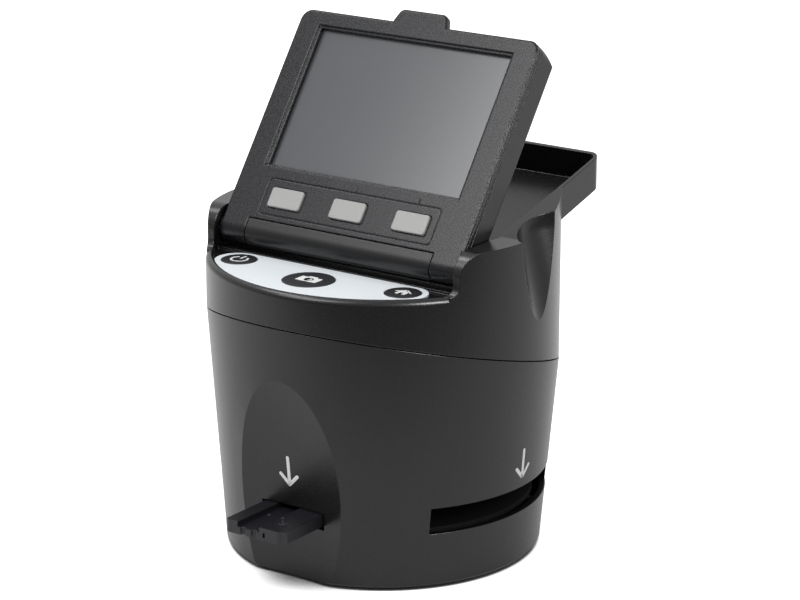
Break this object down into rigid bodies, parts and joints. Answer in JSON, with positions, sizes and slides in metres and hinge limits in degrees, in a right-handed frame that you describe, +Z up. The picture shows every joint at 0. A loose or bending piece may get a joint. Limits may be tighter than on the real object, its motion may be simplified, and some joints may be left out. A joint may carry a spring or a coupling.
{
  "type": "film negative scanner",
  "caption": "Round desktop film negative scanner with a tilting screen over a tray, touch keys on a front plate, side adapter slots and a sliding narrow-film insert.",
  "frame": {"origin": "centre of the housing's flat underside, on the axis of the round body; the rubber feet reach 1 mm below it", "axes": "+Z up, -Y towards the user, on the side of the key plate and the film insert, +X to the user's right"},
  "size_m": [0.1206, 0.1332, 0.1806],
  "materials": {
    "housing_black": "fine spark-eroded grain",
    "screen_black": "fine grain, slightly satin",
    "rubber": "matt",
    "steel": "bright zinc or nickel plate",
    "guide_black": "matt, non-reflecting",
    "insert_black": "smooth satin",
    "white_plastic": "matt white",
    "circuit_board": "green solder mask",
    "optical_glass": "polished",
    "white_gloss": "smooth, slight gloss",
    "key_black": "satin with white printed symbols",
    "window": "clear polished window over a dark display",
    "display": "switched-off display",
    "soft_key_grey": "smooth satin, light warm grey"
  },
  "bodies": {
    "housing": {"lower_shell": "housing_black", "upper_shell": "housing_black", "base_plate": "housing_black", "rubber_feet": "rubber", "base_screws": "steel", "shell_screws": "steel", "lower_film_guide": "guide_black", "upper_film_guide": "guide_black", "guide_legs": "guide_black", "guide_sleeve": "guide_black", "detent_spring": "steel", "light_box": "white_plastic", "led_board": "circuit_board", "light_diffuser": "white_plastic", "camera_tower": "guide_black", "lens_barrel": "guide_black", "lens_glass": "optical_glass", "sensor_board": "circuit_board", "sensor_chip": "guide_black", "sensor_ribbon": "white_plastic", "main_board": "circuit_board", "board_chips": "guide_black", "usb_socket": "steel", "hdmi_socket": "steel", "audio_socket": "guide_black", "card_socket": "steel", "key_plate": "white_gloss", "key_board": "circuit_board", "key_switches": "steel", "key_board_screws": "steel", "hinge_pins": "steel", "hinge_washers": "steel", "screen_lead": "rubber"},
    "screen": {"screen_bezel": "screen_black", "screen_window": "window", "lcd_panel": "display", "screen_board": "circuit_board", "soft_key_switches": "steel", "screen_back_cover": "screen_black", "screen_screws": "steel"},
    "left_soft_key": {"soft_key_left": "soft_key_grey"},
    "centre_soft_key": {"soft_key_centre": "soft_key_grey"},
    "right_soft_key": {"soft_key_right": "soft_key_grey"},
    "power_key_body": {"power_key": "key_black"},
    "capture_key_body": {"capture_key": "key_black"},
    "home_key_body": {"home_key": "key_black"},
    "film_insert_body": {"film_insert": "insert_black"}
  },
  "joints": [
    {"name": "screen_tilt", "type": "hinge", "parent": "housing", "child": "screen", "pos_m": [0, -0.0221, 0.107], "axis": [-1, 0, 0], "range_deg": [0, 38.7]},
    {"name": "soft_key_left_press", "type": "slide", "parent": "screen", "child": "left_soft_key", "axis": [0, 0.8111, -0.585], "range_m": [0, 0.0006], "stiffness_N_per_m": 400, "springref_m": -0.001},
    {"name": "soft_key_centre_press", "type": "slide", "parent": "screen", "child": "centre_soft_key", "axis": [0, 0.8111, -0.585], "range_m": [0, 0.0006], "stiffness_N_per_m": 400, "springref_m": -0.001},
    {"name": "soft_key_right_press", "type": "slide", "parent": "screen", "child": "right_soft_key", "axis": [0, 0.8111, -0.585], "range_m": [0, 0.0006], "stiffness_N_per_m": 400, "springref_m": -0.001},
    {"name": "power_key_press", "type": "slide", "parent": "housing", "child": "power_key_body", "axis": [0, 0, -1], "range_m": [0, 0.0006], "stiffness_N_per_m": 400, "springref_m": -0.001},
    {"name": "capture_key_press", "type": "slide", "parent": "housing", "child": "capture_key_body", "axis": [0, 0, -1], "range_m": [0, 0.0006], "stiffness_N_per_m": 400, "springref_m": -0.001},
    {"name": "home_key_press", "type": "slide", "parent": "housing", "child": "home_key_body", "axis": [0, 0, -1], "range_m": [0, 0.0006], "stiffness_N_per_m": 400, "springref_m": -0.001},
    {"name": "film_insert_slide", "type": "slide", "parent": "housing", "child": "film_insert_body", "axis": [0, -1, 0], "range_m": [0, 0.06]}
  ]
}
